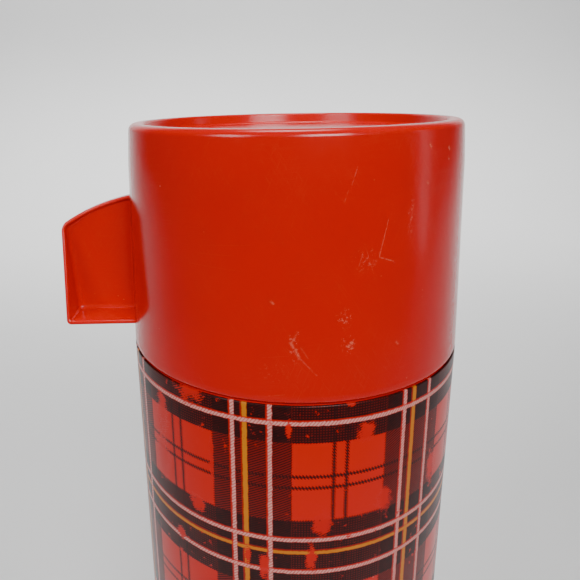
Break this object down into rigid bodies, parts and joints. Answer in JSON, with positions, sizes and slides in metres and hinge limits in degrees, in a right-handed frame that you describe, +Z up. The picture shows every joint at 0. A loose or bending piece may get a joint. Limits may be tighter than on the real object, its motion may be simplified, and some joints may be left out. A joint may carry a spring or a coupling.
{
  "type": "vacuum flask",
  "caption": "Wide-mouth vacuum flask with a tartan steel jacket, screw stopper and a screw-on drinking cup with a side handle.",
  "frame": {"origin": "centre of the flat base, on the surface the flask stands on", "axes": "+Z up along the flask's axis, the cup's handle points towards -X at rest, +Y completes the right-handed frame"},
  "size_m": [0.1253, 0.104, 0.29],
  "materials": {
    "cup_plastic": "glossy moulded red plastic with fine scratches",
    "collar_plastic": "glossy moulded red plastic",
    "base_plastic": "glossy moulded red plastic, scuffed round the foot",
    "tartan_steel": "printed and varnished tartan on red base coat, worn in places",
    "stopper_plastic": "ivory moulded plastic",
    "seal_rubber": "pale soft sealing ring",
    "black_rubber": "black rubber",
    "foam": "rigid insulating foam",
    "silvered_glass": "glass silvered on the vacuum side",
    "spacer_pad": "pale heat-proof pad",
    "card": "brown corrugated paper"
  },
  "bodies": {
    "flask": {"collar": "collar_plastic", "neck_seal": "black_rubber", "jacket": "tartan_steel", "glass_inner": "silvered_glass", "glass_outer": "silvered_glass", "glass_spacer_1": "spacer_pad", "glass_spacer_2": "spacer_pad", "glass_spacer_3": "spacer_pad", "upper_cushion": "foam", "paper_sleeve": "card", "bottom_cushion": "black_rubber", "tip_protector": "black_rubber", "base_cup": "base_plastic", "base_disc": "base_plastic"},
    "cup_seal": {"cup_seal": "seal_rubber"},
    "cup": {"drinking_cup": "cup_plastic"},
    "stopper_gasket": {"stopper_gasket": "black_rubber"},
    "stopper": {"stopper_shell": "stopper_plastic", "stopper_cap": "stopper_plastic", "stopper_foam": "foam"}
  },
  "joints": [
    {"name": "cup_lift", "type": "slide", "parent": "flask", "child": "cup_seal", "axis": [0, 0, 1], "range_m": [0, 0.0361]},
    {"name": "cup_turn", "type": "hinge", "parent": "cup_seal", "child": "cup", "pos_m": [0, 0, 0.2225], "axis": [0, 0, 1], "range_deg": [0, 540]},
    {"name": "stopper_lift", "type": "slide", "parent": "flask", "child": "stopper_gasket", "axis": [0, 0, 1], "range_m": [0, 0.0271]},
    {"name": "stopper_turn", "type": "hinge", "parent": "stopper_gasket", "child": "stopper", "pos_m": [0, 0, 0.2291], "axis": [0, 0, 1], "range_deg": [0, 810]}
  ],
  "couplings": [
    {"joint": "cup_lift", "follows": "cup_turn", "m_per_rad": 0.0038197},
    {"joint": "stopper_lift", "follows": "stopper_turn", "m_per_rad": 0.0019099}
  ]
}
